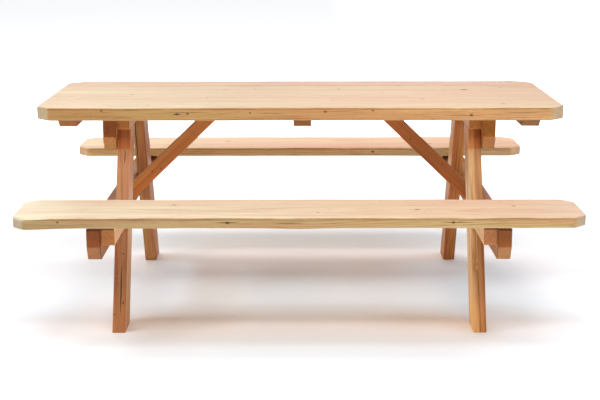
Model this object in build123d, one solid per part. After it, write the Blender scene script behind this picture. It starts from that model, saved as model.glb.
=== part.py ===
from build123d import *
import os
from math import sqrt, radians, tan

# Picnic table in heavy sawn softwood: a five-board top, two single-plank benches
# carried on the same frame, and two A-frames joined by two diagonal braces.
# Frame: X along the table, Y across it (the benches are at -Y and +Y), Z up.
# The origin is on the ground in the middle of the table. Millimetres.

# ---------------------------------------------------------------- driving sizes
top_length = 1807.0          # along X
top_shift = 3.5              # the boards overhang a little more at +X
top_width = 720.0            # along Y
top_height = 745.0           # upper face above the ground
top_thickness = 45.0
top_boards = 5
board_gap = 1.0
top_clip_front = 48.0        # corner cut on the -Y side
top_clip_back = 58.0         # corner cut on the +Y side, -X end
top_clip_back_right = 50.0   # corner cut on the +Y side, +X end
top_edge_round = 8.0
seam_chamfer = 1.2

bench_length = 1820.0
bench_inner = 484.0          # |Y| of the edge next to the table
bench_outer = 750.0
bench_height = 455.0
bench_thickness = 36.0
bench_clip = 40.0
bench_edge_round = 9.0

stock = 45.0                 # thickness of the frame timber, along X
leg_inner_x = 590.0          # inner face of the legs
leg_foot_y = 525.0           # |Y| of the outer edge of the foot, at the ground
leg_slope = 0.44             # how far the leg moves in for each unit of height
leg_width = 115.0            # measured horizontally along Y

cross_height_upper = 113.0
cross_half_upper = 289.0
cross_height_lower = 105.0
cross_half_lower = 700.0
cross_drop_lower = 14.0      # the lower beams' tops stand this far under the benches
cross_bevel = (22.0, 45.0)   # end bevel, Y by Z, on the lower corners

rail_height = 46.0
rail_half = 268.0
rail_bevel = (7.0, 7.0)

seat_block_height = 69.0
seat_block_outer = 692.0
seat_relief_y = 556.0        # from the leg to here the block's top is level with the lower beam
seat_relief_rise = 12.0      # and then it rises to the bench over this length

batten_width = 61.0
batten_height = 29.0
batten_half = 320.0
batten_bevel = (25.0, 22.0)
batten_x = 797.0
batten_middle_x = 11.0        # the middle one sits a little off centre

brace_top_x = 255.2          # |X| of the brace's under side where it meets the top
brace_depth = 68.0           # measured level along X
brace_run = 1.041            # how far the brace moves out for each unit down
brace_width = 70.0

coach_d = 10.0               # hexagon-head coach screw
coach_length = 80.0
coach_head_af = 17.0
coach_head_h = 7.0
washer_od = 30.0
washer_id = 10.5
washer_t = 2.5

screw_d = 6.0                # countersunk wood screw
screw_head_d = 12.0
small_head_d = 9.0           # the dark screws from the seat blocks' inner faces
socket_af = 4.0
socket_depth = 2.0

# ---------------------------------------------------------------- derived sizes
top_z = top_height - top_thickness            # under side of the top
leg_outer_x = leg_inner_x + stock             # where the crossbeams bear
face_x = leg_outer_x + stock                  # outer face of the crossbeams
rail_z = top_z - rail_height                  # leg tops are cut level here
upper_z = top_z - cross_height_upper
bench_z = bench_height - bench_thickness      # under side of the benches
lower_top_z = bench_z - cross_drop_lower
lower_z = lower_top_z - cross_height_lower
block_z = bench_z - seat_block_height
batten_z = top_z - batten_height
board_width = (top_width - board_gap * (top_boards - 1)) / top_boards
mid_x = leg_inner_x + stock / 2


def leg_edge(z):
    """|Y| of the leg's outer sloping edge at height z."""
    return leg_foot_y - leg_slope * z


def leg_centre(z):
    return leg_edge(z) - leg_width / 2


# ---------------------------------------------------------------- shape helpers
def prism(points, along):
    """A closed polygon given by 3-D points, extruded along a vector."""
    return Solid.extrude(Face(Wire.make_polygon(points, close=True)), Vector(*along))


def across(points, x0, x1):
    """A (Y, Z) outline extruded from x0 to x1."""
    return prism([(x0, y, z) for y, z in points], (x1 - x0, 0, 0))


def flat(points, z0, z1):
    """An (X, Y) outline extruded from z0 to z1."""
    return prism([(x, y, z0) for x, y in points], (0, 0, z1 - z0))


def flip_x(shape):
    return shape.mirror(Plane.YZ)


def flip_y(shape):
    return shape.mirror(Plane.XZ)


def place(shape, point, direction):
    """Stands a shape built along +Z at a point, pointing along a direction."""
    return shape.moved(Location(Plane(origin=point, z_dir=direction)))


def up_cylinder(radius, z0, z1):
    return Solid.make_cylinder(radius, z1 - z0).moved(Location((0, 0, z0)))


def up_cone(r0, r1, z0, z1):
    return Solid.make_cone(r0, r1, z1 - z0).moved(Location((0, 0, z0)))


# ---------------------------------------------------------------- fasteners
def coach_bore():
    """The hole of a coach screw: shank and point, from under the head."""
    tip = 9.0
    shank = up_cylinder(coach_d / 2, 0, coach_length - tip)
    return shank.fuse(up_cone(coach_d / 2, 0.8, coach_length - tip, coach_length))


def coach_screw():
    """Hexagon-head coach screw along +Z, with its head below Z = 0."""
    corner = coach_head_af / sqrt(3)
    hexagon = [(corner * c, corner * s) for c, s in
               ((1, 0), (0.5, sqrt(3) / 2), (-0.5, sqrt(3) / 2), (-1, 0), (-0.5, -sqrt(3) / 2), (0.5, -sqrt(3) / 2))]
    head = flat(hexagon, -coach_head_h, 0)
    ease = (corner - coach_head_af / 2 + 0.6) * tan(radians(30))
    turned = up_cone(coach_head_af / 2 - 0.6, corner, -coach_head_h, -coach_head_h + ease)
    turned = turned.fuse(up_cylinder(corner, -coach_head_h + ease, 0))
    eased = head.intersect(turned).solids()[0]
    return eased.fuse(coach_bore())


def washer():
    """Flat washer with its bearing face at Z = 0, lying below it."""
    ring = up_cylinder(washer_od / 2, -washer_t, 0)
    ring = ring.cut(up_cylinder(washer_id / 2, -washer_t - 1, 1))
    rims = [e for e in ring.edges().filter_by(GeomType.CIRCLE) if abs(e.radius - washer_od / 2) < 0.01]
    return ring.fillet(0.6, rims)


def screw_bore(length, head_d=screw_head_d):
    """The countersunk hole of a wood screw, from its head's face at Z = 0."""
    head_h = (head_d - screw_d) / 2
    tip = 6.0
    body = up_cone(head_d / 2, screw_d / 2, 0, head_h)
    body = body.fuse(up_cylinder(screw_d / 2, head_h, length - tip))
    return body.fuse(up_cone(screw_d / 2, 0.5, length - tip, length))


def wood_screw(length, head_d=screw_head_d):
    """Countersunk wood screw with a hexagon socket."""
    corner = socket_af / sqrt(3)
    socket = flat([(corner * c, corner * s) for c, s in
                   ((1, 0), (0.5, sqrt(3) / 2), (-0.5, sqrt(3) / 2), (-1, 0), (-0.5, -sqrt(3) / 2), (0.5, -sqrt(3) / 2))],
                  -1, socket_depth)
    return screw_bore(length, head_d).cut(socket)


# ---------------------------------------------------------------- fastener places
signs = ((-1, -1), (-1, 1), (1, -1), (1, 1))

# (|Y|, Z) on the outer faces of the crossbeams, for one leg or one seat block
leg_top_points = [(leg_centre(609) + 24, 609), (leg_centre(636) - 24, 636)]
bearer_points = [(leg_centre(335) + 24, 335), (leg_centre(380) - 24, 380)]
block_points = [(430, 378), (610, 378)]
brace_point_z = 380.0
block_inner_point = (392, 397)   # one wood screw from the inner face of each seat block
rail_screw_y = (-210, 0, 210)
rail_screw_z = 677.0
bench_screw_y = (590, 670)
bench_screw_length = 90.0
batten_screw_length = 60.0
rail_top_screw_y = (-105, -40, 40, 105)
rail_top_screw_length = 75.0
brace_screw_x = 290.0
brace_screw_y = (-18, 18)
brace_screw_z = 675.0
brace_screw_length = 55.0


def coach_places(points):
    """Head seats on the washers, for all four corners."""
    return [((sx * (face_x + washer_t), sy * y, z), (-sx, 0, 0)) for sx, sy in signs for y, z in points]


leg_top_places = coach_places(leg_top_points)
bearer_places = coach_places(bearer_points)
block_places = coach_places(block_points)
brace_places = [((sx * (face_x + washer_t), 0, brace_point_z), (-sx, 0, 0)) for sx in (-1, 1)]
rail_places = [((sx * face_x, y, rail_screw_z), (-sx, 0, 0)) for sx in (-1, 1) for y in rail_screw_y]
bench_places = [((sx * mid_x, sy * y, block_z), (0, 0, 1)) for sx, sy in signs for y in bench_screw_y]
inner_places = [((sx * leg_inner_x, sy * block_inner_point[0], block_inner_point[1]), (sx, 0, 0)) for sx, sy in signs]
rail_top_places = [((sx * mid_x, y, rail_z), (0, 0, 1)) for sx in (-1, 1) for y in rail_top_screw_y]
brace_top_places = [((sx * brace_screw_x, y, brace_screw_z), (0, 0, 1)) for sx in (-1, 1) for y in brace_screw_y]
batten_places = []
for bx in (-batten_x, batten_middle_x, batten_x):
    for i in range(top_boards):
        centre = -top_width / 2 + board_width / 2 + i * (board_width + board_gap)
        if i == 0:
            ys = (-278.0, -243.0)
        elif i == top_boards - 1:
            ys = (243.0, 278.0)
        else:
            ys = (centre - 36.0, centre + 36.0)
        batten_places += [((bx + dx, y, batten_z), (0, 0, 1)) for dx, y in zip((-12.0, 12.0), ys)]

coach_hole = coach_bore()
one_coach = coach_screw()
one_washer = washer()
short_hole = screw_bore(batten_screw_length)
bench_hole = screw_bore(bench_screw_length)
rail_hole = screw_bore(coach_length)
inner_hole = screw_bore(coach_length, small_head_d)
rail_top_hole = screw_bore(rail_top_screw_length)
brace_hole = screw_bore(brace_screw_length).fuse(up_cylinder(screw_head_d / 2, -22.0, 0))


def placed(shape, places):
    return [place(shape, p, d) for p, d in places]


holes = (placed(coach_hole, leg_top_places + bearer_places + block_places + brace_places)
         + placed(short_hole, batten_places) + placed(bench_hole, bench_places)
         + placed(rail_hole, rail_places) + placed(inner_hole, inner_places)
         + placed(rail_top_hole, rail_top_places)
         + placed(brace_hole, brace_top_places))
hole_boxes = [h.bounding_box() for h in holes]


def bored(shape):
    """The piece with every fastener hole that reaches it."""
    b = shape.bounding_box()
    near = [h for h, k in zip(holes, hole_boxes)
            if k.min.X < b.max.X - 0.01 and k.max.X > b.min.X + 0.01
            and k.min.Y < b.max.Y - 0.01 and k.max.Y > b.min.Y + 0.01
            and k.min.Z < b.max.Z - 0.01 and k.max.Z > b.min.Z + 0.01]
    return shape.cut(*near) if near else shape


# ---------------------------------------------------------------- timber pieces
parts = {}

# The five boards of the top run along X. The outer two have the clipped corners.
xa, xb = top_shift - top_length / 2, top_shift + top_length / 2
for i in range(top_boards):
    y0 = -top_width / 2 + i * (board_width + board_gap)
    y1 = y0 + board_width
    cf = top_clip_front if i == 0 else 0.0
    cb = top_clip_back if i == top_boards - 1 else 0.0
    cr = top_clip_back_right
    outline = [(xa + cf, y0), (xb - cf, y0)] if cf else [(xa, y0), (xb, y0)]
    if cf:
        outline += [(xb, y0 + cf)]
    if cb:
        outline += [(xb, y1 - cr), (xb - cr, y1), (xa + cb, y1), (xa, y1 - cb)]
    else:
        outline += [(xb, y1), (xa, y1)]
    if cf:
        outline += [(xa, y0 + cf)]
    board = flat(outline, top_z, top_height)
    along_x = board.edges().filter_by(Axis.X)
    seams = [e for e in along_x if abs(e.center().Z - top_height) < 0.01
             and abs(abs(e.center().Y) - top_width / 2) > 1]
    board = board.chamfer(seam_chamfer, None, seams)
    if cf or cb:
        outer = -top_width / 2 if cf else top_width / 2
        rims = [e for e in board.edges().filter_by(Axis.X) if abs(e.center().Y - outer) < 0.01]
        board = board.fillet(top_edge_round, rims)
    parts["top_board_%d" % (i + 1)] = board

# The benches are single planks with clipped corners and well-rounded rims.
bh = bench_length / 2
bench = flat([(-bh + bench_clip, -bench_outer), (bh - bench_clip, -bench_outer), (bh, -bench_outer + bench_clip),
              (bh, -bench_inner - bench_clip), (bh - bench_clip, -bench_inner), (-bh + bench_clip, -bench_inner),
              (-bh, -bench_inner - bench_clip), (-bh, -bench_outer + bench_clip)], bench_z, bench_height)
rims = [e for e in bench.edges() if abs(e.center().Z - bench_height) < 0.01 or abs(e.center().Z - bench_z) < 0.01]
bench = bench.fillet(bench_edge_round, rims)
parts["bench_front"] = bench
parts["bench_back"] = flip_y(bench)

# Battens across the under side of the top, one near each end and one in the middle.
by, bz = batten_bevel
batten_outline = [(-batten_half, top_z), (-batten_half, batten_z + bz), (-batten_half + by, batten_z),
                  (batten_half - by, batten_z), (batten_half, batten_z + bz), (batten_half, top_z)]
for name, x in (("batten_left", -batten_x), ("batten_middle", batten_middle_x), ("batten_right", batten_x)):
    parts[name] = across(batten_outline, x - batten_width / 2, x + batten_width / 2)

# Rails between the leg tops and the top.
ry, rz = rail_bevel
rail = across([(-rail_half, top_z), (-rail_half, rail_z + rz), (-rail_half + ry, rail_z),
               (rail_half - ry, rail_z), (rail_half, rail_z + rz), (rail_half, top_z)], leg_inner_x, leg_outer_x)
parts["rail_right"] = rail
parts["rail_left"] = flip_x(rail)

# Crossbeams on the outer faces of the legs: the upper ones under the top, the lower
# ones long enough to carry the seat blocks, with a slot left under each bench.
cy, cz = cross_bevel
for name, half_y, z0, z1 in (("upper_crossbeam", cross_half_upper, upper_z, top_z),
                             ("lower_crossbeam", cross_half_lower, lower_z, lower_top_z)):
    beam = across([(-half_y, z1), (-half_y, z0 + cz), (-half_y + cy, z0), (half_y - cy, z0),
                   (half_y, z0 + cz), (half_y, z1)], leg_outer_x, face_x)
    parts[name + "_right"] = beam
    parts[name + "_left"] = flip_x(beam)

# Legs, leaning in towards the top and cut level at both ends.
leg = across([(-leg_edge(0), 0), (-leg_edge(0) + leg_width, 0),
              (-leg_edge(rail_z) + leg_width, rail_z), (-leg_edge(rail_z), rail_z)], leg_inner_x, leg_outer_x)
parts["leg_front_right"] = leg
parts["leg_front_left"] = flip_x(leg)
parts["leg_back_right"] = flip_y(leg)
parts["leg_back_left"] = flip_x(flip_y(leg))

# Seat blocks in the plane of the legs, cut to the leg's slope, under each bench. The
# bench rests on their outer part; next to the leg their tops are relieved.
block = across([(-seat_block_outer, bench_z), (-seat_block_outer, block_z),
                (-leg_edge(block_z), block_z), (-leg_edge(lower_top_z), lower_top_z),
                (-seat_relief_y, lower_top_z), (-seat_relief_y - seat_relief_rise, bench_z)],
               leg_inner_x, leg_outer_x)
parts["seat_block_front_right"] = block
parts["seat_block_front_left"] = flip_x(block)
parts["seat_block_back_right"] = flip_y(block)
parts["seat_block_back_left"] = flip_x(flip_y(block))

# Diagonal braces on the centre line, from the lower crossbeams up to the middle board.
w = brace_width / 2
foot_low = top_z - (leg_outer_x - brace_top_x) / brace_run
foot_high = foot_low + brace_depth / brace_run
brace = prism([(leg_outer_x, -w, foot_low), (leg_outer_x, -w, foot_high),
               (brace_top_x + brace_depth, -w, top_z), (brace_top_x, -w, top_z)], (0, brace_width, 0))
parts["brace_right"] = brace
parts["brace_left"] = flip_x(brace)

parts = {name: bored(shape) for name, shape in parts.items()}

# ---------------------------------------------------------------- fastener groups
seats = {"leg_top": leg_top_places, "bearer": bearer_places, "seat_block": block_places, "brace_foot": brace_places}
for name, places in seats.items():
    parts[name + "_coach_screws"] = placed(one_coach, places)
    on_face = [((p[0] / abs(p[0]) * face_x, p[1], p[2]), d) for p, d in places]
    parts[name + "_washers"] = placed(one_washer, on_face)
parts["rail_side_screws"] = placed(wood_screw(coach_length), rail_places)
parts["block_inner_screws"] = placed(wood_screw(coach_length, small_head_d), inner_places)
parts["bench_screws"] = placed(wood_screw(bench_screw_length), bench_places)
parts["batten_screws"] = placed(wood_screw(batten_screw_length), batten_places)
parts["rail_top_screws"] = placed(wood_screw(rail_top_screw_length), rail_top_places)
parts["brace_top_screws"] = placed(wood_screw(brace_screw_length), brace_top_places)


def solids_of(shape):
    items = shape if isinstance(shape, (list, ShapeList)) else [shape]
    found = []
    for item in items:
        found += list(item.solids())
    return found


os.makedirs("parts", exist_ok=True)
for name, shape in parts.items():
    solids = solids_of(shape)
    export_step(solids[0] if len(solids) == 1 else Compound(solids), "parts/%s.step" % name)
print(len(parts), "nodes")
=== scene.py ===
"""Looks of the picnic table: every timber is a modelled board with eased edges, planed or sawn faces and its
own wood figure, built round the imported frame. Lengths in the piece tables are millimetres."""
import bpy, math
import numpy as np
from mathutils import Matrix, Vector


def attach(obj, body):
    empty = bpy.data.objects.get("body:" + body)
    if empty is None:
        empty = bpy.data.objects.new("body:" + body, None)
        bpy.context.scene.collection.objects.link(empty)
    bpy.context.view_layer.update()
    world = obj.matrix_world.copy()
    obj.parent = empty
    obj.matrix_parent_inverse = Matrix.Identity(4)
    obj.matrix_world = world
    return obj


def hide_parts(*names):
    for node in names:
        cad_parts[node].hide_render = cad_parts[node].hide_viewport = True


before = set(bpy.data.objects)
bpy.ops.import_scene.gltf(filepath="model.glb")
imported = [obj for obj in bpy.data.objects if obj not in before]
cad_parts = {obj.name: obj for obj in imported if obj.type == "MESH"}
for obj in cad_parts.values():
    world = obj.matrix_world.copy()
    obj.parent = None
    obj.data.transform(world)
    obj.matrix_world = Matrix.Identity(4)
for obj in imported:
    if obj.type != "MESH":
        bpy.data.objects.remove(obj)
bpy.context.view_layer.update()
MM = 0.001


# ------------------------------------------------------------------ seeded noise
TABLE = np.random.RandomState(7).rand(8192)


def noise1(x, seed=0):
    x = np.asarray(x, float) + seed * 17.31
    i = np.floor(x).astype(np.int64)
    f = x - i
    u = f * f * (3 - 2 * f)
    return (TABLE[(i * 131 + seed * 977) & 8191] * (1 - u) + TABLE[((i + 1) * 131 + seed * 977) & 8191] * u) * 2 - 1


def noise3(x, y, z, seed=0):
    x, y, z = np.broadcast_arrays(np.asarray(x, float), np.asarray(y, float), np.asarray(z, float))
    ix, iy, iz = (np.floor(v).astype(np.int64) for v in (x, y, z))
    fx, fy, fz = x - ix, y - iy, z - iz
    fx, fy, fz = (f * f * (3 - 2 * f) for f in (fx, fy, fz))
    out = 0
    for dx in (0, 1):
        for dy in (0, 1):
            for dz in (0, 1):
                h = ((ix + dx) * 73856093) ^ ((iy + dy) * 19349663) ^ ((iz + dz) * 83492791) ^ (seed * 2654435)
                w = (fx if dx else 1 - fx) * (fy if dy else 1 - fy) * (fz if dz else 1 - fz)
                out = out + TABLE[h & 8191] * w
    return out * 2 - 1


# ------------------------------------------------------------------ board meshes
def board(name, length, extents, radii, world, step=14.0, end_round=2.0, sides=(10, 4), arc=4,
          rough=0.25, grain_along=160.0, seed=0, breaks=()):
    """A timber swept along its length t (mm). extents(t) gives (a0, a1, b0, b1) of the section, radii(t) the four
    edge radii, and world(t, a, b) maps to the row frame in mm. Surfaces only ever move inwards."""
    L = length
    near = [0.0, 0.06 * end_round, 0.3 * end_round, 0.65 * end_round, end_round, end_round * 1.8]
    t = set(round(v, 4) for v in near) | set(round(L - v, 4) for v in near)
    n = max(2, int(round(L / step)))
    t |= set(round(v, 4) for v in np.linspace(0, L, n + 1)[1:-1] if min(v, L - v) > end_round * 2.2)
    for v in breaks:
        t |= {round(v, 4), round(L - v, 4)}
    t = np.array(sorted(t))
    e = np.minimum(t, L - t)
    k = np.clip(end_round - e, 0, end_round)
    inset = end_round - np.sqrt(np.maximum(end_round ** 2 - k ** 2, 0))
    a0, a1, b0, b1 = (np.broadcast_to(np.asarray(v, float), t.shape) for v in extents(t))
    a0, a1, b0, b1 = a0 + inset, a1 - inset, b0 + inset, b1 - inset
    cap = 0.46 * np.minimum(a1 - a0, b1 - b0)
    rr = [np.minimum(np.broadcast_to(np.asarray(v, float), t.shape), cap) for v in radii(t)]
    corners = [(a0 + rr[0], b0 + rr[0], rr[0], 180), (a1 - rr[1], b0 + rr[1], rr[1], 270),
               (a1 - rr[2], b1 - rr[2], rr[2], 0), (a0 + rr[3], b1 - rr[3], rr[3], 90)]
    A, B, NA, NB, EDGE = [], [], [], [], []
    for c in range(4):
        ca, cb, r, base = corners[c]
        for j in range(arc + 1):
            th = math.radians(base + 90 * j / arc)
            A.append(ca + r * math.cos(th)); B.append(cb + r * math.sin(th))
            NA.append(math.cos(th)); NB.append(math.sin(th))
            EDGE.append(math.sin(math.pi * j / arc) * 0.6 + 0.4)
        na, nb, nr, nbase = corners[(c + 1) % 4]
        th0, th1 = math.radians(base + 90), math.radians(nbase)
        pa, pb = ca + r * math.cos(th0), cb + r * math.sin(th0)
        qa, qb = na + nr * math.cos(th1), nb + nr * math.sin(th1)
        m = sides[0] if c % 2 == 0 else sides[1]
        for j in range(1, m):
            f = j / m
            A.append(pa * (1 - f) + qa * f); B.append(pb * (1 - f) + qb * f)
            NA.append(math.cos(th0)); NB.append(math.sin(th0))
            EDGE.append(0.0)
    A, B = np.array(A).T, np.array(B).T                       # (stations, loop)
    NA, NB, EDGE = np.array(NA), np.array(NB), np.array(EDGE)
    T = np.repeat(t[:, None], A.shape[1], 1)
    fade = np.clip(e / (end_round * 2 + 1), 0, 1)[:, None]
    low = noise3(T / grain_along, A / 34, B / 34, seed)
    fine = noise3(T / (grain_along * 0.25), A / 7, B / 7, seed + 5)
    d = rough * (0.65 * (0.5 + 0.5 * low) + 0.35 * (0.5 + 0.5 * fine)) * fade
    A, B = A - NA * d, B - NB * d
    X, Y, Z = world(T, A, B)
    pts = np.stack([X, Y, Z], -1).reshape(-1, 3) * MM
    S, N = A.shape
    faces = []
    for i in range(S - 1):
        o, q = i * N, (i + 1) * N
        for j in range(N):
            k2 = (j + 1) % N
            faces.append((o + j, q + j, q + k2, o + k2))
    faces.append(tuple(range(N)))
    faces.append(tuple((S - 1) * N + j for j in range(N - 1, -1, -1)))
    # outward winding whichever way the mapping turns
    p = pts[[faces[0][0], faces[0][1], faces[0][2]]]
    nrm = np.cross(p[1] - p[0], p[2] - p[1])
    mid = pts.mean(0)
    row = pts[: N].mean(0)
    if np.dot(nrm, p[0] - row) < 0:
        faces = [f[::-1] for f in faces]
    me = bpy.data.meshes.new(name)
    me.from_pydata([tuple(v) for v in pts], [], faces)
    me.validate()
    edge = np.repeat(EDGE[None, :], S, 0)
    edge = np.maximum(edge, np.clip(1.2 - e / max(end_round, 0.1), 0, 1)[:, None])
    at = me.attributes.new("edge", "FLOAT", "POINT")
    at.data.foreach_set("value", edge.reshape(-1).astype(np.float32))
    me.polygons.foreach_set("use_smooth", [True] * len(me.polygons))
    me.set_sharp_from_angle(angle=math.radians(34))
    ob = bpy.data.objects.new(name, me)
    bpy.context.scene.collection.objects.link(ob)
    w = ob.modifiers.new("weighted", "WEIGHTED_NORMAL")
    w.keep_sharp = True
    w.weight = 80
    return ob


# ------------------------------------------------------------------ node helpers
class Tree:
    def __init__(self, tree):
        self.t = tree

    def add(self, kind, **props):
        n = self.t.nodes.new(kind)
        for k, v in props.items():
            setattr(n, k, v)
        return n

    def put(self, socket, value):
        if isinstance(value, bpy.types.NodeSocket):
            self.t.links.new(value, socket)
        elif value is not None:
            socket.default_value = value

    def m(self, op, a, b=None, c=None, clamp=False):
        n = self.add("ShaderNodeMath", operation=op, use_clamp=clamp)
        for i, v in enumerate((a, b, c)):
            if v is not None:
                self.put(n.inputs[i], v)
        return n.outputs[0]

    def v(self, op, a, b=None):
        n = self.add("ShaderNodeVectorMath", operation=op)
        for i, x in enumerate((a, b)):
            if x is not None:
                self.put(n.inputs[i], x)
        return n.outputs["Value"] if op in ("LENGTH", "DOT_PRODUCT", "DISTANCE") else n.outputs[0]

    def xyz(self, a):
        n = self.add("ShaderNodeSeparateXYZ")
        self.put(n.inputs[0], a)
        return n.outputs

    def vec(self, x, y, z):
        n = self.add("ShaderNodeCombineXYZ")
        for i, v in enumerate((x, y, z)):
            self.put(n.inputs[i], v)
        return n.outputs[0]

    def noise(self, vec, detail=2.0, rough=0.5, scale=1.0, dist=0.0):
        n = self.add("ShaderNodeTexNoise")
        self.put(n.inputs["Vector"], vec)
        n.inputs["Scale"].default_value = scale
        n.inputs["Detail"].default_value = detail
        n.inputs["Roughness"].default_value = rough
        n.inputs["Distortion"].default_value = dist
        return n

    def mix(self, f, a, b, mode="MIX"):
        n = self.add("ShaderNodeMix", data_type="RGBA", blend_type=mode)
        n.clamp_factor = True
        self.put(n.inputs[0], f)
        self.put(n.inputs[6], a)
        self.put(n.inputs[7], b)
        return n.outputs[2]

    def smooth(self, x, lo, hi, to0=0.0, to1=1.0):
        n = self.add("ShaderNodeMapRange", interpolation_type="SMOOTHSTEP")
        self.put(n.inputs[0], x)
        for i, v in enumerate((lo, hi, to0, to1)):
            self.put(n.inputs[i + 1], v)
        return n.outputs[0]


def lin(c):
    """An 8-bit sRGB colour as linear RGBA."""
    return tuple(((x / 255) / 12.92 if x / 255 <= 0.04045 else ((x / 255 + 0.055) / 1.055) ** 2.4) for x in c) + (1.0,)


def group(name, ins, outs):
    g = bpy.data.node_groups.new(name, "ShaderNodeTree")
    for n, kind, dflt in ins:
        s = g.interface.new_socket(n, in_out="INPUT", socket_type="NodeSocket" + kind)
        if dflt is not None:
            s.default_value = dflt
    for n, kind in outs:
        g.interface.new_socket(n, in_out="OUTPUT", socket_type="NodeSocket" + kind)
    t = Tree(g)
    return g, t, t.add("NodeGroupInput").outputs, t.add("NodeGroupOutput").inputs


# A knot: where the rings bend round a branch. P in mm, the branch runs along P's third axis.
KNOT, t, i, o = group("knot", [("P", "Vector", None), ("X", "Float", 0.0), ("Y", "Float", 0.0), ("Z", "Float", 0.0),
                               ("R", "Float", 8.0), ("Reach", "Float", 40.0)],
                      [("Warp", "Float"), ("Mask", "Float"), ("Ring", "Float")])
p = t.xyz(i["P"])
wob = t.noise(t.v("MULTIPLY", i["P"], (0.05, 0.05, 0.02)), 2.0)
dx = t.m("MULTIPLY", t.m("SUBTRACT", p[0], i["X"]), 0.62)
dy = t.m("SUBTRACT", p[1], i["Y"])
d = t.m("SQRT", t.m("ADD", t.m("MULTIPLY", dx, dx), t.m("MULTIPLY", dy, dy)))
d = t.m("ADD", d, t.m("MULTIPLY", t.m("SUBTRACT", wob.outputs[0], 0.5), t.m("MULTIPLY", i["R"], 1.1)))
deep = t.m("LESS_THAN", t.m("ABSOLUTE", t.m("SUBTRACT", p[2], i["Z"])), i["Reach"])
q = t.m("DIVIDE", d, t.m("MULTIPLY", i["R"], 2.6))
t.put(o["Warp"], t.m("MULTIPLY", deep, t.m("MULTIPLY", t.m("MULTIPLY", i["R"], 1.5), t.m("EXPONENT", t.m("MULTIPLY", t.m("MULTIPLY", q, q), -1.0)))))
t.put(o["Mask"], t.m("MULTIPLY", deep, t.smooth(t.m("DIVIDE", d, i["R"]), 1.15, 0.75)))
t.put(o["Ring"], d)

# A drying check: a thin dark split along the grain, with tapering ends.
CHECK, t, i, o = group("check", [("P", "Vector", None), ("X0", "Float", 0.0), ("X1", "Float", 1.0), ("Y", "Float", 0.0),
                                 ("Z", "Float", 0.0), ("W", "Float", 1.0), ("Reach", "Float", 12.0), ("Slope", "Float", 0.0)],
                       [("Mask", "Float")])
p = t.xyz(i["P"])
u = t.m("DIVIDE", t.m("SUBTRACT", p[0], i["X0"]), t.m("SUBTRACT", i["X1"], i["X0"]))
u2 = t.m("SUBTRACT", t.m("MULTIPLY", u, 2.0), 1.0)
taper = t.m("SUBTRACT", 1.0, t.m("MULTIPLY", u2, u2), clamp=True)
wob = t.noise(t.v("MULTIPLY", i["P"], (0.03, 0.0, 0.0)), 3.0)
yy = t.m("SUBTRACT", p[1], t.m("ADD", i["Y"], t.m("MULTIPLY", i["Slope"], t.m("SUBTRACT", p[0], i["X0"]))))
yy = t.m("ADD", yy, t.m("MULTIPLY", t.m("SUBTRACT", wob.outputs[0], 0.5), 5.0))
near = t.m("LESS_THAN", t.m("ABSOLUTE", t.m("SUBTRACT", p[2], i["Z"])), i["Reach"])
wd = t.m("ADD", t.m("MULTIPLY", i["W"], taper), 0.001)
t.put(o["Mask"], t.m("MULTIPLY", near, t.m("MULTIPLY", t.m("GREATER_THAN", taper, 0.0), t.smooth(t.m("DIVIDE", t.m("ABSOLUTE", yy), wd), 1.3, 0.4))))

# The wood itself: growth rings round a pith line, fibres, colour drift, saw marks. P in mm, X along the grain.
WOOD, t, i, o = group("wood", [
    ("P", "Vector", None), ("Warp", "Float", 0.0), ("Knot", "Float", 0.0), ("KnotD", "Float", 0.0), ("Check", "Float", 0.0), ("End", "Float", 0.0),
    ("Edge", "Float", 0.0), ("Early", "Color", None), ("Late", "Color", None), ("Tint", "Color", None), ("Tint2", "Color", None),
    ("Spacing", "Float", 4.0), ("PithY", "Float", 0.0), ("PithZ", "Float", -90.0), ("SlopeY", "Float", 0.0), ("SlopeZ", "Float", 0.0),
    ("Side", "Float", 0.0), ("SideTone", "Color", (1, 1, 1, 1)), ("EndTone", "Color", (1, 1, 1, 1)), ("Pore", "Float", 0.42), ("Fleck", "Float", 0.3), ("Rim", "Float", 0.0), ("DriftA", "Color", (1, 1, 1, 1)), ("DriftB", "Color", (1, 1, 1, 1)), ("Half", "Float", 900.0),
    ("Contrast", "Float", 0.6), ("Patch", "Float", 0.5), ("Streak", "Float", 0.5), ("Seed", "Float", 0.0), ("Saw", "Float", 0.0), ("Wave", "Float", 14.0)],
    [("Color", "Color"), ("Rough", "Float"), ("Height", "Float")])
P = i["P"]
Q = t.v("ADD", P, t.vec(t.m("MULTIPLY", i["Seed"], 913.7), t.m("MULTIPLY", i["Seed"], 71.3), t.m("MULTIPLY", i["Seed"], 37.9)))
px = t.xyz(P)
warp = t.xyz(t.noise(t.v("MULTIPLY", Q, (0.0016, 0.012, 0.012)), 2.0).outputs["Color"])
warp2 = t.xyz(t.noise(t.v("MULTIPLY", Q, (0.009, 0.05, 0.05)), 2.0).outputs["Color"])
wy = t.m("ADD", t.m("MULTIPLY", t.m("SUBTRACT", warp[0], 0.5), i["Wave"]), t.m("MULTIPLY", t.m("SUBTRACT", warp2[0], 0.5), 2.6))
wz = t.m("ADD", t.m("MULTIPLY", t.m("SUBTRACT", warp[1], 0.5), i["Wave"]), t.m("MULTIPLY", t.m("SUBTRACT", warp2[1], 0.5), 2.6))
ry = t.m("SUBTRACT", t.m("ADD", px[1], wy), t.m("ADD", i["PithY"], t.m("MULTIPLY", px[0], i["SlopeY"])))
rz = t.m("SUBTRACT", t.m("ADD", px[2], wz), t.m("ADD", i["PithZ"], t.m("MULTIPLY", px[0], i["SlopeZ"])))
r = t.m("ADD", t.m("SQRT", t.m("ADD", t.m("MULTIPLY", ry, ry), t.m("MULTIPLY", rz, rz))), i["Warp"])
vary = t.noise(t.vec(t.m("MULTIPLY", r, 0.035), i["Seed"], 0.3), 1.0)
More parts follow.
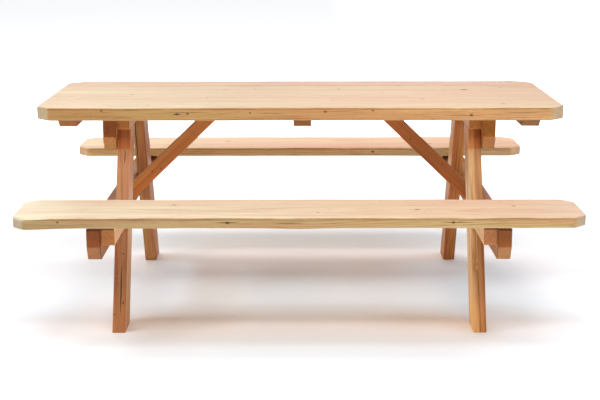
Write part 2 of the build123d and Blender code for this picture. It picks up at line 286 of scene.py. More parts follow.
phase = t.m("ADD", t.m("DIVIDE", r, i["Spacing"]), t.m("MULTIPLY", vary.outputs[0], 2.2))
f = t.m("FRACT", phase)
late = t.m("MULTIPLY", t.smooth(f, 0.30, 0.86), t.smooth(f, 1.0, 0.93))
ringid = t.add("ShaderNodeTexWhiteNoise", noise_dimensions="2D")
t.put(ringid.inputs["Vector"], t.vec(t.m("FLOOR", phase), i["Seed"], 0.0))
late = t.m("MULTIPLY", late, t.m("ADD", 0.45, t.m("MULTIPLY", ringid.outputs["Value"], 0.75)))
fibre = t.noise(t.v("MULTIPLY", Q, (0.010, 0.55, 0.55)), 3.0, 0.6).outputs[0]
fine = t.noise(t.v("MULTIPLY", Q, (0.05, 2.6, 2.6)), 2.0, 0.6).outputs[0]
streak = t.noise(t.v("MULTIPLY", Q, (0.0022, 0.085, 0.085)), 3.0, 0.55, dist=0.4).outputs[0]
patch = t.noise(t.v("MULTIPLY", Q, (0.0011, 0.018, 0.022)), 2.0, 0.5).outputs[0]
patch2 = t.noise(t.v("ADD", t.v("MULTIPLY", Q, (0.0019, 0.027, 0.027)), (5.1, 9.7, 2.3)), 2.0, 0.5).outputs[0]
deep = t.m("ADD", i["Contrast"], t.m("MULTIPLY", i["Side"], 0.30))
col = t.mix(t.m("MULTIPLY", late, deep, clamp=True), i["Early"], i["Late"])
col = t.mix(t.m("MULTIPLY", t.smooth(patch, 0.42, 0.66), i["Patch"], clamp=True), col, t.mix(0.75, col, i["Tint"]))
col = t.mix(t.m("MULTIPLY", t.smooth(patch2, 0.44, 0.68), i["Patch"], clamp=True), col, t.mix(0.65, col, i["Tint2"]))
col = t.mix(t.m("MULTIPLY", t.smooth(streak, 0.50, 0.74), i["Streak"], clamp=True), col, t.mix(0.6, col, i["Late"]))
fl = t.noise(t.v("MULTIPLY", Q, (0.020, 0.22, 0.22)), 3.0, 0.55).outputs[0]
fl = t.m("MULTIPLY", t.smooth(fl, 0.60, 0.72), i["Fleck"])
col = t.mix(fl, col, t.mix(1.0, col, (0.66, 0.56, 0.46, 1), "MULTIPLY"))
bright = t.m("ADD", 0.87, t.m("MULTIPLY", t.m("ADD", t.m("MULTIPLY", fibre, 0.65), t.m("MULTIPLY", fine, 0.35)), 0.26))
col = t.mix(1.0, col, t.vec(bright, bright, bright), "MULTIPLY")
col = t.mix(1.0, col, t.mix(t.smooth(t.m("ADD", px[0], t.m("MULTIPLY", warp[2], 200.0)), t.m("MULTIPLY", i["Half"], -0.9), i["Half"]), i["DriftA"], i["DriftB"]), "MULTIPLY")
# a side that was left nearer the bark: deeper tone, smoky streaks, a dark line just under the rim
smoke = t.noise(t.v("MULTIPLY", Q, (0.006, 0.10, 0.10)), 3.0, 0.6, dist=0.6).outputs[0]
sidecol = t.mix(1.0, col, i["SideTone"], "MULTIPLY")
sidecol = t.mix(t.m("MULTIPLY", t.smooth(smoke, 0.50, 0.72), 0.55), sidecol, t.mix(1.0, sidecol, (0.62, 0.55, 0.45, 1), "MULTIPLY"))
sidecol = t.mix(t.m("MULTIPLY", t.smooth(smoke, 0.46, 0.28), 0.45), sidecol, t.mix(1.0, sidecol, (1.18, 1.16, 1.12, 1), "MULTIPLY"))
sidecol = t.mix(t.m("MULTIPLY", i["Rim"], 0.75, clamp=True), sidecol, t.mix(1.0, sidecol, (0.62, 0.60, 0.50, 1), "MULTIPLY"))
col = t.mix(i["Side"], col, sidecol)
# end grain soaks up more and looks darker and greyer, with the rings as arcs
egc = t.mix(1.0, t.mix(0.35, i["Early"], i["Late"]), (0.84, 0.82, 0.80, 1), "MULTIPLY")
egc = t.mix(t.m("MULTIPLY", late, 0.55), egc, t.mix(0.5, i["Late"], (0.05, 0.02, 0.01, 1)))
pore = t.noise(t.v("MULTIPLY", Q, (0.5, 0.9, 0.9)), 3.0, 0.7).outputs[0]
coarse = t.noise(t.v("MULTIPLY", Q, (0.10, 0.16, 0.16)), 3.0, 0.65).outputs[0]
speck = t.m("ADD", 1.0, t.m("MULTIPLY", t.m("SUBTRACT", t.m("ADD", t.m("MULTIPLY", pore, 0.5), t.m("MULTIPLY", coarse, 0.5)), 0.5), t.m("MULTIPLY", i["Pore"], 2.0)))
egc = t.mix(1.0, egc, t.vec(speck, speck, speck), "MULTIPLY")
egc = t.mix(1.0, egc, i["EndTone"], "MULTIPLY")
col = t.mix(i["End"], col, egc)
# eased edges are a little burnished
col = t.mix(t.m("MULTIPLY", i["Edge"], 0.16), col, t.mix(1.0, col, (1.16, 1.12, 1.05, 1), "MULTIPLY"))
knotring = t.m("ADD", 0.55, t.m("MULTIPLY", t.m("SINE", t.m("MULTIPLY", i["KnotD"], 3.1)), 0.22))
knotcol = t.mix(knotring, (0.035, 0.012, 0.005, 1), (0.19, 0.075, 0.026, 1))
col = t.mix(t.m("MULTIPLY", i["Knot"], 0.92), col, knotcol)
col = t.mix(t.m("MULTIPLY", i["Check"], 0.93), col, (0.032, 0.014, 0.006, 1))
t.put(o["Color"], col)
saw = t.m("SINE", t.m("ADD", t.m("MULTIPLY", px[0], 1.35), t.m("MULTIPLY", t.noise(t.v("MULTIPLY", Q, (0.02, 0.03, 0.03)), 2.0).outputs[0], 14.0)))
sawamp = t.m("MULTIPLY", i["Saw"], t.noise(t.v("MULTIPLY", Q, (0.006, 0.01, 0.01)), 1.0).outputs[0])
t.put(o["Rough"], t.m("ADD", t.m("ADD", 0.50, t.m("MULTIPLY", fibre, 0.16)), t.m("ADD", t.m("MULTIPLY", late, -0.10), t.m("MULTIPLY", i["End"], 0.22))))
h = t.m("ADD", t.m("MULTIPLY", late, 0.16), t.m("ADD", t.m("MULTIPLY", fibre, 0.20), t.m("MULTIPLY", fine, 0.12)))
h = t.m("ADD", h, t.m("MULTIPLY", saw, t.m("MULTIPLY", sawamp, 0.16)))
h = t.m("ADD", h, t.m("ADD", t.m("MULTIPLY", i["Check"], -1.6), t.m("MULTIPLY", i["Knot"], t.m("ADD", -0.25, t.m("MULTIPLY", knotring, 0.35)))))
t.put(o["Height"], t.m("ADD", h, t.m("MULTIPLY", t.m("MULTIPLY", i["End"], pore), 0.35)))


def wood(name, origin, grain, across, early, late, tint, tint2, spacing=4.2, pith=(0, -95), slope=(0.0, 0.006), contrast=0.6,
         patch=0.5, streak=0.5, seed=1.0, saw=0.0, wave=14.0, knots=(), checks=(), bump=0.5, spec=0.35, gain=(1, 1, 1), side=None,
         drift=((1, 1, 1), (1, 1, 1)), half=900.0, rim=None, endtone=(1, 1, 1), pore=0.42, fleck=0.3, bevel_light=None, split=None, lid_shade=None, joint_shade=None, head=None):
    """One board's material. origin in mm, grain and across as unit vectors; knots are (face, x, y, z, r) and
    checks (face, x0, x1, y, z, w, slope), in the board's own mm, with face "z" or "y" for the way they go in."""
    mat = bpy.data.materials.new(name)
    mat.use_nodes = True
    mat.node_tree.nodes.clear()
    t = Tree(mat.node_tree)
    out = t.add("ShaderNodeOutputMaterial")
    bsdf = t.add("ShaderNodeBsdfPrincipled")
    t.put(out.inputs["Surface"], bsdf.outputs[0])
    g, w = Vector(grain).normalized(), Vector(across).normalized()
    n = g.cross(w)
    rot = Matrix((g, w, n)).transposed().to_euler()
    tc = t.add("ShaderNodeTexCoord")
    mp = t.add("ShaderNodeMapping", vector_type="TEXTURE")
    t.put(mp.inputs["Vector"], tc.outputs["Object"])
    mp.inputs["Location"].default_value = [v * MM for v in origin]
    mp.inputs["Rotation"].default_value = rot
    mp.inputs["Scale"].default_value = (MM, MM, MM)
    P = mp.outputs[0]
    swapped = None
    if any(k[0] == "y" for k in list(knots) + list(checks)):
        q = t.xyz(P)
        swapped = t.vec(q[0], q[2], q[1])
    wp, km, kd = None, None, None
    for face, x, y, z, r in knots:
        k = t.add("ShaderNodeGroup"); k.node_tree = KNOT
        t.put(k.inputs["P"], swapped if face == "y" else P)
        for key, v in zip(("X", "Y", "Z", "R"), (x, z, y, r) if face == "y" else (x, y, z, r)):
            k.inputs[key].default_value = v
        k.inputs["Reach"].default_value = 30.0 if face == "y" else 45.0
        wp = k.outputs[0] if wp is None else t.m("ADD", wp, k.outputs[0])
        km = k.outputs[1] if km is None else t.m("MAXIMUM", km, k.outputs[1])
        kd = k.outputs[2] if kd is None else t.m("MINIMUM", kd, k.outputs[2])
    cm = None
    for face, x0, x1, y, z, cw, sl in checks:
        k = t.add("ShaderNodeGroup"); k.node_tree = CHECK
        t.put(k.inputs["P"], swapped if face == "y" else P)
        for key, v in zip(("X0", "X1", "Y", "Z", "W", "Slope"), (x0, x1, z, y, cw, sl) if face == "y" else (x0, x1, y, z, cw, sl)):
            k.inputs[key].default_value = v
        cm = k.outputs[0] if cm is None else t.m("MAXIMUM", cm, k.outputs[0])
    nd = t.v("DOT_PRODUCT", tc.outputs["Normal"], tuple(g))
    end = t.smooth(t.m("ABSOLUTE", nd), 0.55, 0.80)
    at = t.add("ShaderNodeAttribute", attribute_name="edge")
    k = t.add("ShaderNodeGroup"); k.node_tree = WOOD
    def toned(c):
        return tuple(min(0.96, v * k) for v, k in zip(lin(c), gain)) + (1.0,)
    sm = rm = None
    if side is not None:
        nw = t.v("DOT_PRODUCT", tc.outputs["Normal"], tuple(w))
        sm = t.smooth(t.m("ABSOLUTE", nw), 0.62, 0.90)
        if rim is not None:
            zz = t.xyz(P)[2]
            wob = t.noise(t.v("MULTIPLY", P, (0.012, 0.0, 0.0)), 3.0).outputs[0]
            edge_at = t.m("ADD", rim, t.m("MULTIPLY", t.m("SUBTRACT", wob, 0.5), 9.0))
            rm = t.m("MULTIPLY", t.smooth(t.m("SUBTRACT", zz, edge_at), -3.5, 0.5), t.smooth(wob, 0.25, 0.5))
    tone = tuple(side or (1, 1, 1)) + (1.0,)
    if side is not None and isinstance(side[0], tuple):
        tone = t.mix(t.smooth(t.xyz(P)[0], -half, half), side[0] + (1.0,), side[1] + (1.0,))
    vals = {"P": P, "Warp": wp, "Knot": km, "KnotD": kd, "Check": cm, "End": end, "Edge": at.outputs["Fac"],
            "Side": sm, "SideTone": tone, "EndTone": tuple(endtone) + (1.0,), "Pore": pore, "Fleck": fleck, "Rim": rm, "DriftA": tuple(drift[0]) + (1.0,),
            "DriftB": tuple(drift[1]) + (1.0,), "Half": half,
            "Early": toned(early), "Late": toned(late), "Tint": toned(tint), "Tint2": toned(tint2), "Spacing": spacing,
            "PithY": float(pith[0]), "PithZ": float(pith[1]), "SlopeY": slope[0], "SlopeZ": slope[1], "Contrast": contrast,
            "Patch": patch, "Streak": streak, "Seed": seed, "Saw": saw, "Wave": wave}
    for key, v in vals.items():
        t.put(k.inputs[key], v)
    colour = k.outputs["Color"]
    if split is not None:                      # heartwood on one side of a wandering line along the grain
        comp, at_, soft, heart = split
        q = t.xyz(P)
        wander = t.noise(t.v("ADD", t.v("MULTIPLY", P, (0.004, 0.02, 0.02)), (seed, 0.0, 0.0)), 3.0).outputs[0]
        line = t.m("ADD", at_, t.m("MULTIPLY", t.m("SUBTRACT", wander, 0.5), 16.0))
        colour = t.mix(t.smooth(t.m("SUBTRACT", q[comp], line), -soft, soft), colour, t.mix(1.0, colour, tuple(heart) + (1.0,), "MULTIPLY"))
    if bevel_light is not None:                      # painted light: the downward-facing bevels of the sawn ends are lightened, as the floor's bounce lights them more than the upright end
        down = t.m("MULTIPLY", t.xyz(tc.outputs["Normal"])[2], -1.0)
        lit_bevel = t.m("MULTIPLY", t.smooth(down, 0.22, 0.38), end)
        colour = t.mix(lit_bevel, colour, t.mix(1.0, colour, tuple(bevel_light) + (1.0,), "MULTIPLY"))
    if head is not None:                       # painted shade: the head of a front leg is darkened where the top's overhang and the rail shade it
        colour = t.mix(t.smooth(t.xyz(P)[0], head[0] - 5.0, head[0] + 4.0), colour, t.mix(1.0, colour, tuple(head[1]) + (1.0,), "MULTIPLY"))
    if joint_shade is not None:                        # painted shade: a sawn end is darkened along its top and along the edge where it meets the next timber, where the joints under the top and benches fall into shade
        y_at, z_at, z_sign, dark = joint_shade
        q = t.xyz(P)
        near = t.m("MAXIMUM", t.smooth(q[1], y_at - 2.5, y_at + 1.5), t.smooth(t.m("MULTIPLY", q[2], float(z_sign)), z_at - 1.2, z_at + 0.8))
        colour = t.mix(t.m("MULTIPLY", near, end), colour, t.mix(1.0, colour, tuple(dark) + (1.0,), "MULTIPLY"))
    if lid_shade is not None:                        # painted shade: the relieved top faces are darkened to the deep shade of the recess under the bench
        up_ = t.smooth(t.xyz(tc.outputs["Normal"])[2], 0.60, 0.85)
        colour = t.mix(up_, colour, t.mix(1.0, colour, tuple(lid_shade) + (1.0,), "MULTIPLY"))
    t.put(bsdf.inputs["Base Color"], colour)
    t.put(bsdf.inputs["Roughness"], k.outputs["Rough"])
    bsdf.inputs["Specular IOR Level"].default_value = spec
    b = t.add("ShaderNodeBump")
    b.inputs["Strength"].default_value = bump
    b.inputs["Distance"].default_value = 0.0012
    t.put(b.inputs["Height"], k.outputs["Height"])
    t.put(bsdf.inputs["Normal"], b.outputs[0])
    return mat


def finish_piece(ob, node, mat):
    ob.data.materials.append(mat)
    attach(ob, "root")
    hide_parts(node)
    return ob


def soft_cut(e, cut, r=5.0):
    """How far a clipped corner takes the side in, at distance e from the end, with the cut's ends eased."""
    x = cut - e
    return 0.5 * (x + np.sqrt(x * x + r * r))


# ------------------------------------------------------------------ sizes shared with the frame
TOP, BOTTOM, BENCH, BENCH_LOW = 745.0, 700.0, 455.0, 419.0
PALE, PALE_LATE, PINK, CREAM = (226, 190, 148), (202, 146, 96), (226, 172, 134), (232, 204, 156)

# Tone of each group of timbers: (red, green, blue) against the swatches below
GAIN = {"top": (0.75, 0.873, 0.959), "bench": (0.828, 0.968, 1.21), "bench_back": (1.05, 1.02, 1.12), "batten": {"left": (0.996, 0.97, 0.483), "middle": (0.865, 0.92, 0.546), "right": (0.812, 0.93, 0.79)}, "rail": (1.43, 1.5, 1.01),
        "upper": ((1.36, 1.74, 1.41), (1.34, 1.57, 1.11)), "lower": ((1.02, 1.08, 0.84), (1.20, 1.36, 1.17)), "block": (1.84, 3.04, 3.41),
        "brace": ((1.69, 1.99, 1.34), (1.45, 1.52, 0.922))}
ENDS = {"upper": (((0.79, 0.54, 0.35), (1.87, 3.27, 5.3)), ((1.08, 1.09, 0.65), (1.28, 1.58, 3.3))),
        "lower": (((1.00, 0.85, 0.57), (1.38, 2.13, 4.1)), ((0.93, 0.84, 0.55), (1.50, 2.14, 3.8)))}     # sawn end tone, then the painted light on its downward bevel, left and right
TOP_SIDE = ((0.78, 0.605, 0.36), (1.03, 0.90, 0.64))
BENCH_SIDE, BACK_SIDE = ((0.65, 0.525, 0.34), (0.845, 0.84, 0.57)), ((0.85, 0.75, 0.49), (0.84, 0.97, 0.84))
TOP_DRIFT = ((0.97, 0.94, 0.90), (0.98, 0.87, 0.84))
BENCH_DRIFT = ((0.98, 1.08, 1.09), (0.97, 0.875, 0.855))
LEG_GAIN = {(-1, -1): (1.23, 2.05, 1.98), (-1, 1): (0.862, 0.949, 0.922), (1, -1): (1.11, 1.33, 1.15), (1, 1): (1.59, 2.27, 1.68)}
LEG_SIDE = {(-1, -1): (0.73, 0.59, 0.62), (-1, 1): (0.85, 0.78, 0.78), (1, -1): (0.95, 0.98, 0.80), (1, 1): (0.85, 0.62, 0.49)}

# ... and how each leg's tone changes from its foot to its head
LEG_DRIFT = {(-1, -1): ((0.82, 0.60, 0.50), (1.03, 0.96, 0.96)), (-1, 1): ((1.27, 1.15, 1.10), (1.0, 0.92, 0.93)),
             (1, -1): ((1.08, 1.06, 1.10), (0.93, 0.89, 0.87)), (1, 1): ((0.84, 0.75, 0.60), (1.02, 1.04, 1.10))}

# ------------------------------------------------------------------ the five top boards
GAP, WIDE = 1.0, 143.2
top_knots = {
    0: [("y", -672, -70, 12, 2.8), ("y", -379, -70, 2, 3.4), ("y", -415, -70, 0, 3.6), ("y", -167, -70, 4, 2.6), ("y", 88, -70, 8, 3.5), ("y", 250, -70, 12, 3.0), ("y", 585, -70, -4, 4.6),
        ("z", -520, -8, 20, 4.0), ("z", 706, 22, 20, 5.5)],
    1: [("z", 440, 1, 20, 5.0), ("z", -330, 30, 20, 3.8), ("z", 120, -38, 20, 3.5)],
    2: [("z", 305, 14, 20, 4.0), ("z", -610, -26, 20, 4.4)],
    3: [("z", 619, -43, 20, 10.0), ("z", 149, -14, 20, 5.0), ("z", -279, -41, 20, 5.2), ("z", -167, -11, 20, 4.2), ("z", 759, 7, 20, 5.0)],
    4: [("z", 822, 32, 20, 6.0), ("z", -452, -20, 20, 4.0), ("z", 372, 12, 20, 3.8)]}
top_checks = {
    0: [("y", -470, -300, -70, 6, 0.9, 0.0), ("y", -432, -398, -70, -3, 2.0, 0.12), ("y", -640, -560, -70, -12, 1.0, 0.0), ("y", 700, 820, -70, 4, 0.9, 0.0), ("y", -600, -540, -70, 15, 1.0, 0.0), ("y", 480, 640, -70, -6, 0.8, 0.01), ("y", 60, 190, -70, 10, 0.7, 0.0), ("y", -150, -40, -70, 3, 0.6, 0.0)],
    3: [("z", 560, 600, -43, 20, 0.8, 0.0)],
    4: [("z", 700, 880, 46, 20, 0.9, 0.0)]}
top_tones = [dict(early=(228, 193, 150), tint=(230, 172, 132), tint2=(234, 208, 160), patch=0.45),
             dict(early=(226, 186, 146), tint=(228, 168, 134), tint2=(232, 202, 156), patch=0.6),
             dict(early=(229, 192, 150), tint=(226, 170, 134), tint2=(236, 208, 162), patch=0.5),
             dict(early=(226, 188, 144), tint=(230, 168, 132), tint2=(230, 202, 152), patch=0.6),
             dict(early=(226, 180, 142), tint=(230, 164, 132), tint2=(232, 198, 152), patch=0.55)]
for k in range(5):
    y0 = -360 + k * (WIDE + GAP)
    y1 = y0 + WIDE
    mid = (y0 + y1) / 2
    drop = (0.0, 0.5, 0.15, 0.6, 0.1)[k]

    def ext(t, k=k, y0=y0, y1=y1, drop=drop):
        e = np.minimum(t, 1807 - t)
        a0, a1 = np.full_like(t, y0), np.full_like(t, y1)
        if k == 0:
            a0 = a0 + soft_cut(e, 48.0) + 1.4 + 1.4 * noise1(t / 150, 3) * np.clip(e / 90, 0, 1)
        if k == 4:
            a1 = a1 - soft_cut(e, np.where(t < 900, 58.0, 50.0), np.where(t < 900, 9.0, 20.0)) - 1.6 - 1.6 * noise1(t / 170, 9) * np.clip(e / 90, 0, 1)
        return a0, a1, BOTTOM + 0 * t, TOP - drop - 0.25 * (1 + noise1(t / 260, 20 + k))

    def rad(t, k=k):
        one = np.ones_like(t)
        front = 5.0 + 2.2 * noise1(t / 120, 31)
        return (2.6 * one if k == 0 else 1.2 * one, 3.5 * one if k == 4 else 1.2 * one,
                (6.0 + 2.0 * noise1(t / 140, 33)) if k == 4 else 2.0 * one, front if k == 0 else 2.0 * one)

    ob = board("board_top_%d" % (k + 1), 1807.0, ext, rad, lambda t, a, b: (t - 900, a, b), step=10.0, end_round=3.0,
               sides=(14, 5), rough=0.35, seed=40 + k, breaks=(36, 40, 44, 48, 52, 56, 60, 66, 24, 12))
    tone = top_tones[k]
    mat = wood("wood_top_%d" % (k + 1), (0, mid, 722.5), (1, 0, 0), (0, 1, 0), tone["early"], PALE_LATE, tone["tint"], tone["tint2"],
               spacing=(4.6, 5.2, 4.0, 5.6, 4.4)[k], pith=((-38, 22, -60, 40, 10)[k], (-70, -120, -60, -95, -140)[k]),
               slope=((0.010, -0.006, 0.012, -0.008, 0.004)[k], (0.012, 0.016, -0.010, 0.014, -0.018)[k]),
               contrast=0.62, patch=tone["patch"] + 0.25, streak=0.50, seed=3.1 + 1.7 * k, wave=18.0, fleck=0.75, endtone=(1.01, 1.10, 1.18), pore=1.3,
               knots=top_knots.get(k, ()), checks=top_checks.get(k, ()), bump=0.35, gain=GAIN["top"], drift=TOP_DRIFT,
               side=TOP_SIDE if k in (0, 4) else None, rim=15.5 if k in (0, 4) else None)
    finish_piece(ob, "top_board_%d" % (k + 1), mat)

# ------------------------------------------------------------------ the two benches
bench_knots = {
    -1: [("y", -226, -133, 0, 5.0), ("y", 485, -133, 2, 4.2), ("y", -760, -133, 3, 3.0), ("z", 380, -20, 17, 6.0), ("z", -410, 50, 17, 4.5), ("z", 60, -60, 17, 4.0), ("z", 700, 30, 17, 5.0)],
    1: [("y", 300, -133, 0, 4.0), ("z", -300, 20, 17, 6.0), ("z", 540, -40, 17, 5.0), ("z", -700, -50, 17, 4.0), ("y", -120, 133, 2, 5.0)]}
bench_checks = {
    -1: [("y", -262, -190, -133, 1, 1.6, 0.0), ("y", 440, 560, -133, 2, 1.1, 0.0), ("y", -80, 20, -133, -2, 0.9, 0.0), ("z", 640, 870, -70, 17, 0.8, 0.0)],
    1: [("z", 820, 905, -8, 17, 1.6, 0.0), ("y", -500, -330, -133, 0, 0.8, 0.0)]}
for side, name in ((-1, "front"), (1, "back")):
    def ext(t, side=side):
        e = np.minimum(t, 1820 - t)
        c = soft_cut(e, 40.0, 7.0)
        fade = np.clip(e / 100, 0, 1)
        outer = c + 2.0 + 2.0 * noise1(t / 190, 51 + side) * fade
        inner = c + 1.6 + 1.6 * noise1(t / 210, 61 + side) * fade
        low, high = BENCH_LOW + 0 * t, BENCH - 0.2 - 0.2 * noise1(t / 300, 71)
        return (-750 + outer, -484 - inner, low, high) if side < 0 else (484 + inner, 750 - outer, low, high)

    def rad(t, side=side):
        wave = noise1(t / 105, 81 + side)
        top = 8.0 + 2.4 * wave + (2.0 - 4.0 * t / 1820 if side < 0 else 0)
        low = 4.2 + 2.0 * noise1(t / 90, 91 + side)
        return low, low, 7.5 + 2.0 * noise1(t / 130, 95), top

    def lie(t, a, b, side=side):
        if side > 0:
            return t - 910, a, b
        # the sitter's edge of the front plank is wany: it dips at the left end and swells in the middle
        outer = np.clip((-560 - a) / 190, 0, 1)
        dip = 7.0 * np.clip(1 - t / 210, 0, 1) ** 1.4 + 2.6 * np.exp(-((t - 915) / 95) ** 2) * (b < 437)
        return t - 910, a, b - outer * dip
    ob = board("plank_bench_" + name, 1820.0, ext, rad, lie, step=10.0, end_round=5.0,
               sides=(22, 4), arc=5, rough=0.4, seed=60 + side, breaks=(8, 14, 20, 26, 32, 36, 40, 44, 48, 54, 62))
    mat = wood("wood_bench_" + name, (0, side * 617, 437), (1, 0, 0), (0, 1, 0), (228, 192, 146), PALE_LATE, (230, 172, 134), (234, 206, 154),
               spacing=5.6 if side < 0 else 4.8, pith=(25 * side, -120), slope=(0.012 * side, 0.02), contrast=0.62, patch=0.8, fleck=0.7, endtone=(0.87, 0.93, 1.0), pore=1.3,
               streak=0.50, seed=11.3 + side * 3.3, wave=22.0, knots=bench_knots[side], checks=bench_checks[side], bump=0.35,
               gain=GAIN["bench" if side < 0 else "bench_back"], drift=BENCH_DRIFT, side=BENCH_SIDE if side < 0 else BACK_SIDE, rim=9.0)
    finish_piece(ob, "bench_" + name, mat)

# ------------------------------------------------------------------ frame timbers
RED = dict(early=(176, 112, 72), late=(132, 70, 38), tint=(188, 104, 66), tint2=(194, 138, 88))


def plain(r=1.8):
    return lambda t: (r, r, r, r)


# battens across the under side of the top
for name, x, seed in (("left", -797.0, 1), ("middle", 11.0, 2), ("right", 797.0, 3)):
    def ext(t, x=x):
        e = np.minimum(t, 640 - t)
        return x - 30.5 + 0 * t, x + 30.5 + 0 * t, 671 + 22 * np.clip(1 - e / 25, 0, 1), BOTTOM + 0 * t
    ob = board("timber_batten_" + name, 640.0, ext, plain(1.6), lambda t, a, b: (a, t - 320, b), step=12, end_round=1.2,
               sides=(6, 3), rough=0.3, seed=100 + seed, breaks=(6, 12, 18, 25, 26))
    mat = wood("wood_batten_" + name, (x, 0, 685), (0, 1, 0), (-1, 0, 0), RED["early"], RED["late"], RED["tint"], RED["tint2"],
               spacing=3.8, pith=(20 * seed - 30, -60), slope=(0.01, 0.01), contrast=0.62, patch=0.5, streak=0.5, seed=20.0 + seed,
               saw=0.8, knots=[("z", -120 + 90 * seed, 8, -15, 5)], bump=0.55, gain=GAIN["batten"][name], pore=0.9)
    finish_piece(ob, "batten_" + name, mat)

for side, name in ((-1, "left"), (1, "right")):
    x0, x1 = (590.0, 635.0) if side > 0 else (-635.0, -590.0)
    c0, c1 = (635.0, 680.0) if side > 0 else (-680.0, -635.0)
    s = 30 + 7 * (side + 1)

    # rail between the leg tops and the top
    def ext(t, x0=x0, x1=x1):
        e = np.minimum(t, 536 - t)
        return x0 + 0 * t, x1 + 0 * t, 654 + 7 * np.clip(1 - e / 7, 0, 1), BOTTOM + 0 * t
    ob = board("timber_rail_" + name, 536.0, ext, plain(2.0), lambda t, a, b: (a, t - 268, b), step=12, end_round=1.5,
               sides=(4, 4), rough=0.3, seed=s, breaks=(3.5, 7, 8))
    mat = wood("wood_rail_" + name, (x0 + 22.5, 0, 677), (0, 1, 0), (-1, 0, 0), (186, 128, 82), (140, 80, 44), (192, 116, 76), (200, 150, 96),
               spacing=4.4, pith=(-30, -26 * side), slope=(0.01, 0.0), contrast=0.6, patch=0.5, streak=0.5, seed=s * 0.37, saw=0.8, bump=0.55,
               knots=[("z", 60, 4, 20, 6)], gain=GAIN["rail"], pore=0.9)
    finish_piece(ob, "rail_" + name, mat)

    # crossbeams
    for kind, half, z0, z1 in (("upper", 289.0, 587.0, BOTTOM), ("lower", 700.0, 300.0, 405.0)):
        def ext(t, half=half, z0=z0, z1=z1, c0=c0, c1=c1):
            e = np.minimum(t, 2 * half - t)
            return c0 + 0 * t, c1 + 0 * t, z0 + 45 * np.clip(1 - e / 22, 0, 1), z1 + 0 * t
        ob = board("timber_%s_crossbeam_%s" % (kind, name), 2 * half, ext, plain(2.2),
                   lambda t, a, b, half=half: (a, t - half, b), step=14, end_round=2.8, sides=(5, 9), rough=0.35,
                   seed=s + (3 if kind == "upper" else 4), breaks=(4, 8, 13, 18, 22, 23.5))
        sd = s * 0.53 + (1.9 if kind == "upper" else 5.7)
        # each sawn end is painted with shade along its top and along the edge where it meets the next timber
        # the downward bevel of each sawn end is painted lighter, as if lit by the floor's bounce
        mat = wood("wood_%s_crossbeam_%s" % (kind, name), ((c0 + c1) / 2, 0, (z0 + z1) / 2), (0, 1, 0), (0, 0, 1),
                   (170, 104, 66), (124, 62, 34), (182, 98, 62), (190, 132, 84), spacing=4.8, pith=(30 if kind == "upper" else -44, 52 * side),
                   slope=(0.012, 0.008), contrast=0.7, patch=0.7, streak=0.6, seed=sd, saw=0.9, bump=0.55, gain=GAIN[kind][0 if side < 0 else 1],
                   endtone=ENDS[kind][0 if side < 0 else 1][0], bevel_light=ENDS[kind][0 if side < 0 else 1][1], pore=1.0,
                   joint_shade=(52.0 if kind == "upper" else 47.5, 20.6, -side, (0.34, 0.26, 0.20)),
                   knots=[("z", -150 if kind == "upper" else 215, 14, 22 * side, 9), ("z", 120 if kind == "upper" else -470, -22, 22 * side, 6), ("z", 470, 20, 22 * side, 5)],
                   checks=[("z", -half + 4, -half + 130, 12, 22 * side, 1.0, 0.02), ("z", 40, 260, -12, 22 * side, 0.9, 0.0)])
        finish_piece(ob, "%s_crossbeam_%s" % (kind, name), mat)

    # legs and seat blocks
    for end, ename in ((-1, "front"), (1, "back")):
        sd = s + 11 * (end + 2)
        ob = board("timber_leg_%s_%s" % (ename, name), 654.0,
                   lambda t, x0=x0, x1=x1: (0 * t, 115 + 0 * t, x0 + 0 * t, x1 + 0 * t), plain(2.6),
                   lambda t, a, b, end=end: (b, end * (525 - 0.44 * t - a), t), step=13, end_round=1.8, sides=(9, 4),
                   rough=0.45, seed=sd)
        up = Vector((0, -end * 0.44, 1)).normalized()
        tones = {(-1, -1): dict(early=(196, 122, 84), late=(152, 78, 44), tint=(206, 112, 82), tint2=(208, 150, 98)),
                 (-1, 1): dict(early=(208, 152, 96), late=(158, 92, 50), tint=(196, 106, 62), tint2=(222, 172, 116)),
                 (1, -1): dict(early=(176, 108, 72), late=(134, 70, 40), tint=(184, 100, 68), tint2=(192, 134, 88)),
                 (1, 1): dict(early=(172, 104, 68), late=(130, 68, 38), tint=(182, 98, 64), tint2=(188, 130, 84))}[(end, side)]
        kn = {(-1, -1): [("y", -109, -40, -8, 2.5), ("y", -195, -40, 10, 2.2), ("y", -279, -40, -12, 2.5), ("y", -318, -40, 16, 2.2)],
              (-1, 1): [("y", -159, -40, 10, 2.2), ("y", -135, -40, 6, 1.3)],
              (1, -1): [("z", 40, 16, -20, 6)], (1, 1): [("z", -170, -14, -20, 6)]}[(end, side)]
        # board frame: grain up the leg, "across" along the 115 mm face towards the middle, third axis along X
        mid_y = end * (525 - 0.44 * 327 - 57.5)
        across = Vector((0, -end, 0)) - up * Vector((0, -end, 0)).dot(up)
        ch = [("y", -326, -138, -50, -4, 2.6, 0.0), ("y", 205, 262, -50, -5, 1.8, 0.0)] if (end, side) == (-1, -1) else \
             [("y", 95, 440, 50, -13, 2.4, 0.0)] if (end, side) == (1, -1) else [("z", -310, -120, 12, 20, 0.9, 0.0)]
